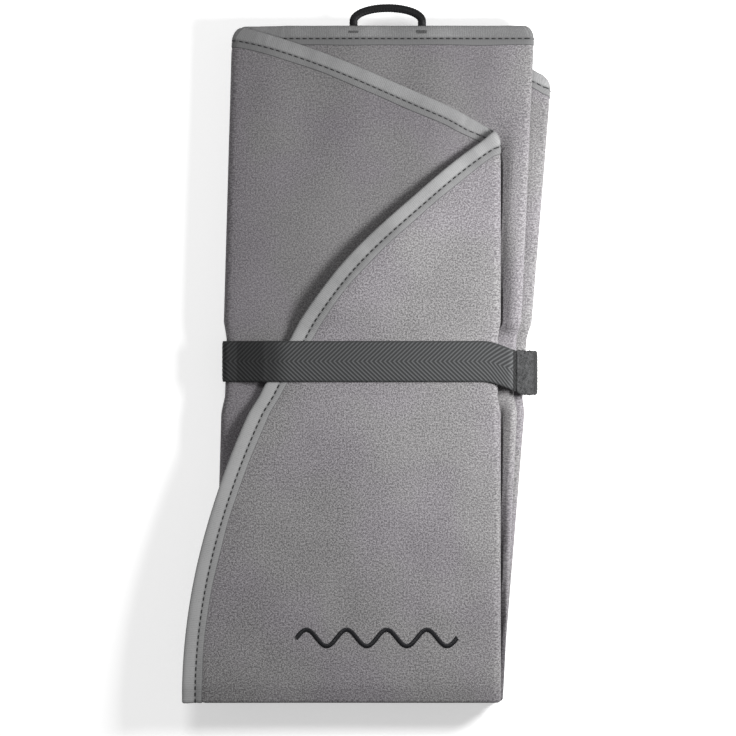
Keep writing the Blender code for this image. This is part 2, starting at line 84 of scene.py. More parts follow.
low, high = cad_box
middle = (low + high) / 2
lens = bpy.data.cameras.new("camera")
lens.lens = LENS
lens.sensor_width = SENSOR
camera = bpy.data.objects.new("camera", lens)
camera.location = (middle.x, middle.y - VIEW_DROP, high.z + VIEW_WIDTH * LENS / SENSOR)
bpy.context.scene.collection.objects.link(camera)
bpy.context.scene.camera = camera
# the plain colour view shows a lit white table as pure white
bpy.context.scene.view_settings.view_transform = "Standard"


def soft_light(name, place, size, power):
    """A square light of a size that faces the middle of the bundle."""
    lamp = bpy.data.lights.new(name, "AREA")
    lamp.size = size
    lamp.energy = power
    light = bpy.data.objects.new(name, lamp)
    light.location = place
    light.rotation_euler = (middle - Vector(place)).to_track_quat("-Z", "Y").to_euler()
    bpy.context.scene.collection.objects.link(light)


soft_light("right_softbox", (0.32, 0.04, 0.28), 0.14, 3.1)
soft_light("far_softbox", (-0.25, 0.95, 1.35), 0.50, 9.0)

world = bpy.data.worlds.new("studio")
world.use_nodes = True
world.node_tree.nodes["Background"].inputs["Color"].default_value = (1.0, 1.0, 1.0, 1.0)
world.node_tree.nodes["Background"].inputs["Strength"].default_value = 0.20
bpy.context.scene.world = world


class Value:
    """An output socket of a material. Arithmetic on it adds Math nodes."""

    def __init__(self, tree, socket):
        self.tree = tree
        self.socket = socket

    def node(self, kind, settings=(), sockets=(), output=0):
        """Adds a node: its settings come first, then a number or a link for each socket."""
        made = self.tree.nodes.new("ShaderNode" + kind)
        for name, value in dict(settings).items():
            setattr(made, name, value)
        for place, value in dict(sockets).items():
            if isinstance(value, Value):
                self.tree.links.new(value.socket, made.inputs[place])
            else:
                made.inputs[place].default_value = value
        return Value(self.tree, made.outputs[output])

    def math(self, operation, *others):
        """What a Math node makes of this value, and of others after it."""
        return self.node("Math", {"operation": operation}, dict(enumerate((self, *others))))

    def __add__(self, other):
        return self.math("ADD", other)

    def __sub__(self, other):
        return self.math("SUBTRACT", other)

    def __rsub__(self, other):
        return self.node("Math", {"operation": "SUBTRACT"}, {0: other, 1: self})

    def __mul__(self, other):
        return self.math("MULTIPLY", other)

    def __truediv__(self, other):
        return self.math("DIVIDE", other)

    __radd__ = __add__
    __rmul__ = __mul__

    def step(self, start, end):
        """0 below start, 1 above end, with a smooth rise between them."""
        sockets = {"Value": self, "From Min": start, "From Max": end}
        return self.node("MapRange", {"interpolation_type": "SMOOTHSTEP"}, sockets)

    def noise(self, scale, detail=2.0, roughness=0.5):
        """Cloudy noise on this vector, about 0.5, with scale clouds in a metre."""
        sockets = {"Vector": self, "Scale": scale, "Detail": detail, "Roughness": roughness}
        return self.node("TexNoise", {}, sockets)

    def mix(self, first, second):
        """A colour between two, by this factor."""
        sockets = {0: self, 6: first, 7: second}
        return self.node("Mix", {"data_type": "RGBA"}, sockets, output=2)

    def bump(self, distance, strength):
        """A normal that shows this height."""
        sockets = {"Strength": strength, "Distance": distance, "Height": self}
        return self.node("Bump", {}, sockets)

    def split(self, axis):
        """One part of this vector, by its number."""
        return self.node("SeparateXYZ", {}, {0: self}, output=axis)

    def on_piece(self):
        """Where each point lies on the bundle, in metres."""
        return self.node("TexCoord", output=3)

    def laid_flat(self):
        """Where each point lies on the material laid flat, as its mesh keeps it."""
        return self.node("Attribute", {"attribute_name": "flat"}, output=1)


def new_material(name, roughness, sheen=0.0):
    """A material with a plain shader: the material, a start for its pattern, and the shader."""
    material = bpy.data.materials.new(name)
    material.use_nodes = True
    tree = material.node_tree
    shader = tree.nodes["Principled BSDF"]
    shader.inputs["Roughness"].default_value = roughness
    shader.inputs["Specular IOR Level"].default_value = 0.15
    shader.inputs["Sheen Weight"].default_value = sheen
    shader.inputs["Sheen Roughness"].default_value = 0.6
    return material, Value(tree, None), shader


def finish_shader(shader, **links):
    """Links values to the shader's sockets by name, with _ for a space."""
    for name, value in links.items():
        value.tree.links.new(value.socket, shader.inputs[name.replace("_", " ")])


def color(*rgb):
    """A full colour from its red, green and blue."""
    return (*rgb, 1.0)


table_paint, start, shader = new_material("table_white", 0.7)
where = start.on_piece()
finish_shader(shader, Base_Color=where.noise(3.0).mix(color(.90, .90, .90), color(.93, .93, .93)))
shader.inputs["Emission Color"].default_value = color(1.0, 1.0, 1.0)
shader.inputs["Emission Strength"].default_value = TABLE_GLOW

table_mesh = bpy.data.meshes.new("table")
corners = [(x * TABLE_HALF, y * TABLE_HALF, low.z - TABLE_GAP)
           for x, y in ((-1, -1), (1, -1), (1, 1), (-1, 1))]
table_mesh.from_pydata(corners, [], [(0, 1, 2, 3)])
table_mesh.materials.append(table_paint)
table = bpy.data.objects.new("table", table_mesh)
bpy.context.scene.collection.objects.link(table)

# ------------------------------------------------------------------------------ towel cloth
# One sheet of brushed microfibre, with rounded ends. It is folded in half along its length,
# then pleated into six panels. The pile is short, so the sheet is 1.9 mm thick and each fold
# is full and a little square.
CLOTH = 0.0019
PITCH = 0.00235
PANELS = 6
BUNDLE_BOTTOM = float(low.y)
HALF_WIDTH = 0.4148
FRONT_TIP = float(low.x)
BACK_TIP = -0.0860
FACES_BOTTOM = (0.0814, -0.0950, 0.0830, -0.0935, 0.0824)
FACES_TOP = (0.0814, -0.0833, 0.1026, -0.0820, 0.1160)
FRONT_END = ((0.0, 0.0), (0.010, 0.088), (0.042, 0.180), (0.090, 0.259), (0.145, 0.313),
             (0.192, 0.349), (0.243, 0.373), (0.305, 0.399), (0.352, 0.4125), (0.390, 0.4148))
BACK_END_DEPTH = 0.260
BACK_END_ROUNDNESS = 2.3
PLEAT_SQUARENESS = 0.82

STRAP_WIDTH = 0.025
STRAP_THICKNESS = 0.0015
STRAP_GAP = 0.00045
STRAP_Y = -0.0052
STRAP_PINCH = 0.0020
PRESS_TOP = 0.0008
PRESS_BLEND = 0.010
TAB_WIDTH = 0.028
TAB_DROOP = 0.007

HALF_TURN = PITCH / 2
STACK = 2 * PANELS * PITCH
SEAT = (PITCH - CLOTH) / 2
FACE_OFFSET = PITCH + HALF_TURN + CLOTH / 2
TURN_LENGTH = math.pi * HALF_TURN / 2
PLEAT_LENGTH = math.pi * PITCH
HALF_FOLD = BUNDLE_BOTTOM + HALF_TURN + CLOTH / 2
PRESS_BOTTOM = STRAP_THICKNESS + STRAP_GAP
GRIP_Y = STRAP_Y - TAB_DROOP / 2
GRIP_HALF = (TAB_WIDTH + TAB_DROOP) / 2 + 0.0003

CREASE_X = FACES_TOP[0] + 0.0006
SWELL_WIDTH = 0.0032
SWELL = 0.40
SWELL_FADE = (0.108, 0.150)
SAG = 0.00035
BANDS = 1.7
EDGE_DROP = 0.0018
DROP_FADE = (0.0003, 0.012)
PUFF = 0.0060
PUFF_FADE = (0.002, 0.024)
PUFF_INSIDE = (0.012, 0.060)
ROLL_WIDTH = 0.013
ROLL = 0.0026
CORNER_ROUND = 0.009
CORNER_TURN = 0.86
CORNER_SPREAD = 0.034
CURL_WIDTH = 0.017
CURL = 0.0026


def rise(value, start, end):
    """0 below start, 1 above end, and 3t^2 - 2t^3 between them."""
    t = np.clip((value - start) / (end - start), 0.0, 1.0)
    return t * t * (3 - 2 * t)


def strap_grip(y):
    """1 under the strap and its drooping tab, falling evenly to 0 beside them."""
    return np.clip((GRIP_HALF + PRESS_BLEND - np.abs(y - GRIP_Y)) / PRESS_BLEND, 0.0, 1.0)


def pleat_x(pleat, y):
    """Centre of a pleat's turn: its outer face leans from its bottom place to its top one."""
    share = (y - BUNDLE_BOTTOM) / HALF_WIDTH
    face = FACES_BOTTOM[pleat] + (FACES_TOP[pleat] - FACES_BOTTOM[pleat]) * share
    return face - (-1) ** pleat * FACE_OFFSET


def stretch(index, y):
    """Length of one stretch of the sheet: panels are even, and the pleats between them odd."""
    if index % 2:
        return np.full_like(y, PLEAT_LENGTH)
    panel = index // 2
    if panel == 0:
        return pleat_x(0, y) - FRONT_TIP
    if panel == PANELS - 1:
        return SHEET_LENGTH - sum(stretch(k, y) for k in range(index))
    return np.abs(pleat_x(panel, y) - pleat_x(panel - 1, y))


bottom = np.array([BUNDLE_BOTTOM])
last_stretch = 2 * (PANELS - 1)
SHEET_LENGTH = float(sum(stretch(k, bottom)[0] for k in range(last_stretch)))
SHEET_LENGTH += float(pleat_x(PANELS - 2, bottom)[0]) - BACK_TIP


def settle(x, y, z):
    """The loose stack as it lies: drawn in and pressed under the strap, with the lower pleats
    swollen beyond the top fold up to its height, and broad shallow waves in its surface."""
    grip = strap_grip(y)
    loose = STACK - 2 * SEAT
    beyond = rise(x, CREASE_X, CREASE_X + SWELL_WIDTH)
    room = (1 - rise(grip, 0.0, 1.0)) * (1 - rise(y, *SWELL_FADE))
    z = z * (1 + SWELL * beyond * room)
    wave = np.sin(x / 0.021 + y / 0.052 + 0.6) + np.sin(y / 0.031 - x / 0.045 + 2.1)
    upper = rise(y, 0.05, 0.17) * np.sin(x / 0.0085 - y / 0.12 + 1.0)
    level = np.clip(z / loose, 0.0, 1.0)
    drop = EDGE_DROP * (1 - rise(y - BUNDLE_BOTTOM, *DROP_FADE))
    z = z - level * (drop + SAG * (1 - grip) * (1 + wave / 2 + BANDS * upper))
    press_low = PRESS_BOTTOM * grip
    press_high = loose - PRESS_TOP * grip
    z = press_low + (z - SEAT) * (press_high - press_low) / loose
    pinch = STRAP_PINCH / ((FACES_BOTTOM[0] - FACES_BOTTOM[1]) / 2) * grip
    return np.stack([x * (1 - pinch), y, z], axis=-1)


def loft(along, across, y):
    """How far the loose front panel stands off the stack. Above the strap it is puffed up and
    rolls over to its edge. Below the strap its edge curls up a little."""
    panel = along / stretch(0, y)
    edge_across = np.interp(along, EDGE[:, 0], EDGE[:, 1])
    inside = (edge_across - np.abs(across)) * np.interp(along, EDGE[:, 0], np.abs(EDGE_IN[:, 1]))
    above = rise(y - GRIP_Y - GRIP_HALF, *PUFF_FADE) * (1 - rise(panel, 0.55, 1.0))
    below = rise(GRIP_Y - GRIP_HALF - y, *PUFF_FADE)
    puffed = PUFF * (1 - rise(inside, *PUFF_INSIDE) * 0.8) - ROLL * (1 - rise(inside, 0, ROLL_WIDTH))
    return above * puffed + below * CURL * (1 - rise(inside, -0.002, CURL_WIDTH))


def corner_round(along, y):
    """How far X moves so that each pleat's corner at the sheet's edge is round: back from the
    fold by r (1 - sqrt(1 - t^2)), with t from 0 to nearly 1 over the last r before the edge."""
    moved = np.zeros_like(y)
    for pleat in range(PANELS - 1):
        start = sum(stretch(k, y) for k in range(2 * pleat + 1))
        end = start + PLEAT_LENGTH
        edge = past_fold(np.interp((start + end) / 2, EDGE[:, 0], EDGE[:, 1]))
        t = CORNER_TURN * np.clip((y - edge) / CORNER_ROUND + 1, 0, 1)
        near = rise(along, start - CORNER_SPREAD, start) * (1 - rise(along, end, end + CORNER_SPREAD))
        moved -= (-1) ** pleat * CORNER_ROUND * (1 - np.sqrt(1 - t * t)) * near
    return moved


def past_fold(across):
    """Y of the sheet at a distance from its middle line, past the half fold."""
    return HALF_FOLD + np.maximum(np.abs(across) - TURN_LENGTH, 0.0)


def on_sheet(along, across, lift):
    """A point of the folded sheet: along from the front tip, across from the middle line, and
    lift from the middle of the cloth. The half fold is a half turn in Y and height. The pleats
    carry that height round half turns whose sine and cosine are raised to a power below 1."""
    along, across, lift = np.broadcast_arrays(along, across, lift)
    angle = np.clip(across / HALF_TURN, -math.pi / 2, math.pi / 2)
    radius = HALF_TURN + lift
    height = radius * np.sin(angle)
    y = past_fold(across)
    x = np.zeros_like(y)
    z = np.zeros_like(y)
    start = np.zeros_like(y)
    for panel in range(PANELS):
        way = (-1) ** panel
        level = STACK - (2 * panel + 1) * PITCH
        origin = FRONT_TIP if panel == 0 else pleat_x(panel - 1, y)
        here = along >= start - 1e-9
        x = np.where(here, origin + way * (along - start), x)
        z = np.where(here, level + way * height, z)
        if panel == PANELS - 1:
            break
        start = start + stretch(2 * panel, y)
        turn = np.clip((along - start) / PITCH, 0.0, math.pi)
        reach = PITCH + way * height
        side = np.sin(turn) ** PLEAT_SQUARENESS
        up = np.sign(np.cos(turn)) * np.abs(np.cos(turn)) ** PLEAT_SQUARENESS
        x = np.where(along >= start, pleat_x(panel, y) + way * reach * side, x)
        z = np.where(along >= start, level - PITCH + reach * up, z)
        start = start + PLEAT_LENGTH
    settled = settle(x, y - radius * np.cos(angle), z)
    settled[..., 0] += corner_round(along, y)
    settled[..., 2] += np.where(along < stretch(0, y), loft(along, across, y), 0.0)
    return settled


def smooth_outline(points, steps):
    """Catmull-Rom curve through points, mirrored across the middle line at its first one."""
    pts = np.array(points)
    pts = np.vstack([pts[1] * [1.0, -1.0], pts, 2 * pts[-1] - pts[-2]])
    t = np.linspace(0, 1, steps, endpoint=False)[:, None]
    pieces = [(2 * b + (c - a) * t + (2 * a - 5 * b + 4 * c - d) * t**2
               + (3 * b - a - 3 * c + d) * t**3) / 2
              for a, b, c, d in zip(pts[:-3], pts[1:-2], pts[2:-1], pts[3:])]
    return np.vstack(pieces + [pts[-2:-1]])


def half_outline():
    """The sheet's edge from front tip to back tip: rounded, straight, then a superellipse."""
    angle = np.linspace(math.pi / 2, 0, 240)
    power = 2 / BACK_END_ROUNDNESS
    back_x = SHEET_LENGTH - BACK_END_DEPTH * (1 - np.cos(angle) ** power)
    back_y = HALF_WIDTH * np.sin(angle) ** power
    return np.vstack([smooth_outline(FRONT_END, 24), np.stack([back_x, back_y], axis=-1)])


def travel(path):
    """Length travelled along a path at each of its points."""
    return np.concatenate([[0], np.cumsum(np.linalg.norm(np.diff(path, axis=0), axis=1))])


def left_normals(path):
    """Unit normals of a flat path, to the left of the way it runs."""
    tangent = np.gradient(path, axis=0)
    tangent /= np.maximum(np.linalg.norm(tangent, axis=1), 1e-12)[:, None]
    return np.stack([-tangent[:, 1], tangent[:, 0]], axis=-1)


EDGE = half_outline()
EDGE_IN = -left_normals(EDGE)
EDGE_TRAVEL = travel(EDGE)


def grid_faces(rows, columns, close_rows=False, close_columns=False):
    """Corner numbers of the four-sided faces of a grid, which may close on itself."""
    a = np.arange(rows if close_rows else rows - 1)[:, None]
    b = np.arange(columns if close_columns else columns - 1)[None, :]
    c = (a + 1) % rows
    d = (b + 1) % columns
    corners = (a * columns + b, a * columns + d, c * columns + d, c * columns + b)
    return np.stack(np.broadcast_arrays(*corners), axis=-1).reshape(-1, 4)


def close_ends(mesh):
    """Fills what is open in a mesh, such as the two ends of a tube, with one face each."""
    bm = bmesh.new()
    bm.from_mesh(mesh)
    rim = [edge for edge in bm.edges if edge.is_boundary]
    if rim:
        bmesh.ops.holes_fill(bm, edges=rim)
        bm.to_mesh(mesh)
    bm.free()


def add_piece(name, points, faces, paint, flat=None):
    """A closed mesh from points and four-sided faces, turned so that its faces point out. flat
    is where each point lies on the material laid flat, kept for the pattern to read."""
    points = np.asarray(points).reshape(-1, 3)
    a, b, c, d = (points[faces[:, k]] for k in range(4))
    volume = (a * np.cross(b, c)).sum() + (a * np.cross(c, d)).sum()
    if volume < 0:
        faces = faces[:, ::-1]
    mesh = bpy.data.meshes.new(name)
    mesh.vertices.add(len(points))
    mesh.vertices.foreach_set("co", points.astype(np.float32).ravel())
    mesh.loops.add(faces.size)
    mesh.loops.foreach_set("vertex_index", faces.astype(np.int32).ravel())
    mesh.polygons.add(len(faces))
    mesh.polygons.foreach_set("loop_start", np.arange(0, faces.size, 4, dtype=np.int32))
    mesh.update(calc_edges=True)
    mesh.polygons.foreach_set("use_smooth", np.ones(len(faces), bool))
    if flat is not None:
        laid = mesh.attributes.new("flat", "FLOAT_VECTOR", "POINT")
        laid.data.foreach_set("vector", np.asarray(flat).astype(np.float32).ravel())
    mesh.materials.append(paint)
    close_ends(mesh)
    piece = bpy.data.objects.new(name, mesh)
    bpy.context.scene.collection.objects.link(piece)
    return piece


BINDING_WIDTH = 0.012
CLOTH_INSET = 0.0088
TUCKED_HALF = 0.00042
COLUMN_STEPS = (66, 7, 48, 7, 44, 7, 16, 7, 16, 7, 38)
ROW_STEPS = 88
ROW_CREEP = 0.00002
FIRST_PLEAT = FACES_BOTTOM[0] - FRONT_TIP


def place_along(column, y):
    """Distance along the sheet of a column, whose whole part counts the stretches before it."""
    return sum(np.clip(column - k, 0, 1) * stretch(k, y) for k in range(last_stretch + 1))


def cloth_rows():
    """Distances across from the middle line, closer together where the strap's grip fades."""
    fine = np.linspace(TURN_LENGTH, HALF_WIDTH, 2000)
    away = np.abs(np.abs(past_fold(fine) - GRIP_Y) - GRIP_HALF - PRESS_BLEND / 2)
    crowd = 1 + 1.6 * (away < PRESS_BLEND) + 2 * np.exp(-(fine - TURN_LENGTH) / 0.004)
    share = np.cumsum(crowd) / crowd.sum()
    rows = np.interp(np.linspace(share[0], 1, ROW_STEPS), share, fine)
    return np.concatenate([np.linspace(0, TURN_LENGTH, 5)[:-1], rows])


def cloth_grid():
    """Grid of the sheet inside its binding: along, across, and half the cloth's thickness."""
    columns = np.concatenate([k + np.linspace(0, 1, n, endpoint=False) ** (1.3 if k == 0 else 1)
                              for k, n in enumerate(COLUMN_STEPS)])
    columns[0] = (CLOTH_INSET + ROW_CREEP) / float(stretch(0, bottom)[0])
    last = 1 - (CLOTH_INSET + ROW_CREEP) / float(stretch(last_stretch, bottom)[0])
    columns = np.append(columns[columns < last_stretch + last], last_stretch + last)
    inset = EDGE + CLOTH_INSET * EDGE_IN
    reach = np.full(len(columns), HALF_WIDTH * 0.95)
    for _ in range(40):
        along = place_along(columns, past_fold(reach))
        reach = (reach + np.interp(along, inset[:, 0], inset[:, 1])) / 2
    slope = np.interp(along, inset[:, 0], np.abs(EDGE_IN[:, 1]))
    rows = cloth_rows()
    spare = ROW_CREEP * np.arange(len(rows))[::-1]
    half = np.minimum(rows[:, None], np.maximum(reach[None, :] - spare[:, None],
                                                rows[:, None] * ROW_CREEP))
    across = np.vstack([-half[:0:-1], half])
    along = place_along(columns[None, :], past_fold(across))
    away = CLOTH_INSET + (reach[None, :] - np.abs(across)) * slope[None, :]
    away = np.minimum(away, np.minimum(along, SHEET_LENGTH - along))
    thick = TUCKED_HALF + (CLOTH / 2 - TUCKED_HALF) * rise(away, BINDING_WIDTH - 0.001,
                                                          BINDING_WIDTH + 0.0025)
    return along, across, thick


def closed_sheet_faces(rows, columns):
    """Faces of a sheet's two sides, on two grids one after the other, and of its rim."""
    count = rows * columns
    front = grid_faces(rows, columns)
    numbers = np.arange(count).reshape(rows, columns)
    rim = np.concatenate([numbers[0], numbers[1:, -1], numbers[-1, -2::-1], numbers[-2:0:-1, 0]])
    turned = np.roll(rim, -1)
    wall = np.stack([turned, rim, rim + count, turned + count], axis=-1)
    return np.vstack([front, front[:, ::-1] + count, wall])


pile_paint, start, shader = new_material("pile_cloth", 0.95, sheen=0.05)
flat_place = start.laid_flat()
fibre = flat_place.noise(1800.0, 2.0, 0.6)
tuft = flat_place.noise(930.0, 2.0, 0.6)
brushed = flat_place.noise(26.0, 3.0, 0.55)
tint = flat_place.noise(15.0, 2.0, 0.5)
grain = (fibre * 0.5 + tuft * 0.5).step(0.40, 0.61)
dark = tint.step(0.40, 0.60).mix(color(.090, .087, .089), color(.091, .084, .092))
pale = tint.step(0.40, 0.60).mix(color(.298, .291, .293), color(.296, .283, .297))
# painted shade: the panels behind the front one are darker, for their nap's lean against the light
# and the light falling off to the left; the shade fades out towards the right side, near the light
behind = flat_place.split(0).step(FIRST_PLEAT - 0.004, FIRST_PLEAT + 0.004)
turned = behind * (1 - start.on_piece().split(0).step(0.068, 0.094) * 0.8)
nap = 1 - turned * 0.40
lay = ((grain * 0.88 + brushed.step(0.3, 0.7) * 0.12) * nap).mix(dark, pale)
finish_shader(shader, Base_Color=lay, Roughness=grain * 0.1 + 0.85,
              Normal=(fibre * 0.6 + tuft * 0.4).bump(0.0011, 0.55))

along, across, thick = cloth_grid()
faces = closed_sheet_faces(*along.shape)
points = np.stack([on_sheet(along, across, thick), on_sheet(along, across, -thick)])
laid = np.stack([along, across, np.zeros_like(along)], axis=-1)
cloth = add_piece("towel_sheet", points, faces, pile_paint, np.stack([laid, laid + [0, 0, 0.5]]))
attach(cloth, "towel")
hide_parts("towel_cloth")

# ---------------------------------------------------------------------------- edge binding
# A smooth knitted tape, 12 mm to a side, folded over the sheet's whole edge and sewn down
# through both of its sides. The seam draws it in, so it is fullest at its folded edge, and
# its two cut edges lie on the pile.
SEAM_INSET = 0.0080
BINDING_PROFILE = ((0.0, 0.0), (0.0002, 0.00052), (0.0009, 0.00092), (0.0026, 0.00106),
                   (0.0050, 0.00104), (0.0068, 0.00094), (0.0076, 0.00080), (0.0080, 0.00074),
                   (0.0084, 0.00080), (0.0093, 0.00098), (0.0106, 0.00104), (0.0117, 0.00104),
                   (0.0120, 0.00096), (0.0118, 0.00076), (0.0100, 0.00056), (0.0086, 0.00050))
PUCKER = 0.00013
STITCH_PITCH = 0.0040
STATION_STEP = 0.0012
KNIT_PITCH = 0.0011

half_length = float(EDGE_TRAVEL[-1])


def on_band(ring, inset, lift):
    """A point of the edge band: ring runs from the back tip round the front tip and back, inset
    is measured square to the edge, and lift from the middle of the cloth."""
    ring, inset, lift = np.broadcast_arrays(ring, inset, lift)
    place = np.abs(ring - half_length)
    side = np.where(ring < half_length, -1.0, 1.0)
    point = [np.interp(place, EDGE_TRAVEL, EDGE[:, k]) for k in (0, 1)]
    inward = [np.interp(place, EDGE_TRAVEL, EDGE_IN[:, k]) for k in (0, 1)]
    along = point[0] + inset * inward[0]
    return on_sheet(along, side * (point[1] + inset * inward[1]), lift)


def ring_stations():
    """Places round the ring, closer together where it turns over the half fold at each tip."""
    tip = np.linspace(0, 0.006, 15)[:-1]
    half = np.concatenate([tip, np.arange(0.006, half_length - 0.006, STATION_STEP),
                           half_length - tip[::-1]])
    return np.concatenate([half[1:], half_length + half[1:]])


binding_paint, start, shader = new_material("binding_tape", 0.85, sheen=0.06)
tape_place = start.laid_flat()
tape_run, tape_inset, tape_lie = (tape_place.split(k) for k in range(3))
rib = (tape_run * (2 * math.pi / KNIT_PITCH)).math("SINE") * 0.5 + 0.5
cloud = tape_place.noise(40.0, 2.0)
yarn = tape_place.noise(1800.0, 2.0, 0.6)
shade = (rib * 0.12 + yarn * 0.5 + cloud * 0.38).step(0.2, 0.8)
seam = 1 - (tape_inset - SEAM_INSET).math("ABSOLUTE").step(0.0002, 0.0011)
cut_edge = tape_inset.step(BINDING_WIDTH - 0.0006, BINDING_WIDTH)
inner = tape_inset.step(SEAM_INSET - 0.0018, SEAM_INSET - 0.0002)
# painted sheen: the tape is painted lighter where it runs along the bundle's length, where its knit
# catches the near light on the right; the band inside the seam is darker
sheen = shade * (1 - inner * 0.35) - inner * 0.2 + tape_lie * 0.85 - 0.3
tape_color = sheen.mix(color(.132, .132, .133), color(.285, .285, .286))
# darker along the seam, for its stitch holes and for painted shade in its groove, and a painted
# shadow along the tape's cut edge, where it lies on the pile
seam_and_edge_shade = (seam * 0.22 + cut_edge * 0.8).mix(tape_color, color(.040, .040, .042))
finish_shader(shader, Base_Color=seam_and_edge_shade,
              Normal=(rib * 0.3 + yarn * 0.7).bump(0.0004, 0.4))

ring = ring_stations()
top = np.array(BINDING_PROFILE)
profile = np.vstack([top, (top * [1.0, -1.0])[:0:-1]])
pull = PUCKER * np.sin(ring / STITCH_PITCH * 2 * math.pi) * (1 + np.sin(ring / 0.017)) / 2
near_seam = np.exp(-((profile[:, 0] - SEAM_INSET) / 0.0022) ** 2)
lift = profile[:, 1] * (1 + pull[:, None] / 0.0009 * near_seam)
slack = 0.00025 * np.sin(ring / 0.0083) * np.sin(ring / 0.0291)
inset = profile[:, 0] + slack[:, None] * rise(profile[:, 0], 0.008, 0.012)
points = on_band(ring[:, None], inset, lift)
# how far the tape runs along the bundle's length, which sets its painted sheen
lengthwise = np.abs(np.interp(np.abs(ring - half_length), EDGE_TRAVEL, EDGE_IN[:, 0]))
laid = np.stack(np.broadcast_arrays(ring[:, None], profile[:, 0], lengthwise[:, None]), axis=-1)
faces = grid_faces(len(ring), len(profile), True, True)
binding = add_piece("edge_tape", points, faces, binding_paint, laid)
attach(binding, "towel")
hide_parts("edge_binding")

# ------------------------------------------------------------------------ binding stitches
# A lockstitch of grey polyester thread, eight millimetres in from the edge, four millimetres
# to the stitch, seen on both sides of the tape.
THREAD_RADIUS = 0.00036
STITCH_LENGTH = 0.0027
SEAM_HEIGHT = 0.00076
NUDGE = 0.0001


def beads(centers, across_way, up_way, radii, sides=5):
    """Threads: each row of centres carries rings of a radius, closed to a point at its ends."""
    turn = np.linspace(0, 2 * math.pi, sides, endpoint=False)
    ring = (np.cos(turn)[:, None] * across_way[..., None, :]
            + np.sin(turn)[:, None] * up_way[..., None, :])
    points = centers[..., None, :] + radii[..., None, None] * ring
    count, rings = points.shape[:2]
    one = grid_faces(rings, sides, False, True)
    faces = (one[None] + np.arange(count)[:, None, None] * rings * sides).reshape(-1, 4)
    return points.reshape(-1, 3), faces


thread_paint, start, shader = new_material("grey_thread", 0.6)
twist = start.on_piece().noise(2500.0, 2.0)
thread_color = twist.step(0.3, 0.7).mix(color(.012, .012, .0125), color(.040, .040, .041))
finish_shader(shader, Base_Color=thread_color, Normal=twist.bump(0.0002, 0.5))

count = int(2 * half_length / STITCH_PITCH)
starts = np.arange(count) * 2 * half_length / count
ease = np.array([0.0, 0.02, 0.2, 0.5, 0.8, 0.98, 1.0])
arch = np.array([-0.0002, -0.0001, 0.00012, 0.00018, 0.00012, -0.0001, -0.0002])
radii = THREAD_RADIUS * np.array([0.02, 0.7, 1.0, 1.0, 1.0, 0.7, 0.02])
sides = []
for face in (1, -1):
    at = starts[:, None] + STITCH_LENGTH * ease[None, :]
    height = face * (SEAM_HEIGHT + arch)
    center = on_band(at, SEAM_INSET, height[None, :])
    beside = on_band(at, SEAM_INSET + NUDGE, height[None, :]) - center
    above = on_band(at, SEAM_INSET, height[None, :] + NUDGE) - center
    beside /= np.linalg.norm(beside, axis=-1)[..., None]
    above /= np.linalg.norm(above, axis=-1)[..., None]
    points, faces = beads(center, beside, above, np.broadcast_to(radii, at.shape))
    sides.append((points, faces))
points = np.vstack([sides[0][0], sides[1][0]])
faces = np.vstack([sides[0][1], sides[1][1] + len(sides[0][0])])
stitches = add_piece("binding_stitches", points, faces, thread_paint)
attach(stitches, "towel")

# -------------------------------------------------------------------------------- hang loop
# A black braided cord, pressed a little flat, sewn between the two sides of the binding at
# the bundle's top edge. Each foot is held by a bartack.
loop_low, loop_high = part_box("hang_loop")
CORD_RADIUS = 0.0023
LOOP_ROUNDNESS = 2.05
FOOT_DEPTH = 0.0035
FOOT_TUCK = 0.62
CORD_WIDE = 1.06
CORD_TALL = 0.66
BRAID_PITCH = 0.00055
BRAID_RELIEF = 0.05
ARCH_STEPS = 120
FOOT_STEPS = 12
CORD_RINGS = 150
CORD_SIDES = 28
loop_z = (loop_low.z + loop_high.z) / 2
foot_y = loop_low.y + CORD_RADIUS
left, right = loop_low.x + CORD_RADIUS, loop_high.x - CORD_RADIUS
angle = np.linspace(0, math.pi, ARCH_STEPS)
power = 2 / LOOP_ROUNDNESS
swing = np.sign(np.cos(angle)) * np.abs(np.cos(angle)) ** power
arch_x = (left + right) / 2 - (right - left) / 2 * swing
arch_y = foot_y + (loop_high.y - CORD_RADIUS - foot_y) * np.sin(angle) ** power
down = np.linspace(FOOT_DEPTH, 0, FOOT_STEPS)[:-1]
path = np.vstack([np.stack([np.full(len(down), left), foot_y - down], axis=-1),
                  np.stack([arch_x, arch_y], axis=-1),
                  np.stack([np.full(len(down), right), foot_y - down[::-1]], axis=-1)])
spots = np.linspace(0, travel(path)[-1], CORD_RINGS)
path = np.stack([np.interp(spots, travel(path), path[:, k]) for k in (0, 1)], axis=-1)
out = left_normals(path)
turn = np.linspace(0, 2 * math.pi, CORD_SIDES, endpoint=False)
run = spots[:, None] / BRAID_PITCH
braid = np.sin(run + 2 * turn) * np.sin(run - 2 * turn)
tuck = 1 - FOOT_TUCK * (1 - rise(path[:, 1], foot_y - FOOT_DEPTH, foot_y + 0.001))
wide = CORD_RADIUS * (CORD_WIDE + BRAID_RELIEF * braid)
tall = CORD_RADIUS * (CORD_TALL + BRAID_RELIEF * braid) * tuck[:, None]
shut = np.ones(len(path))
shut[[0, -1]] = 0.01
offset = wide * np.cos(turn) * shut[:, None]
points = np.concatenate([path[:, None, :] + offset[..., None] * out[:, None, :],
                         (loop_z + tall * np.sin(turn) * shut[:, None])[..., None]], axis=-1)
laid = np.stack(np.broadcast_arrays(spots[:, None], turn * CORD_RADIUS, 0 * tall), axis=-1)

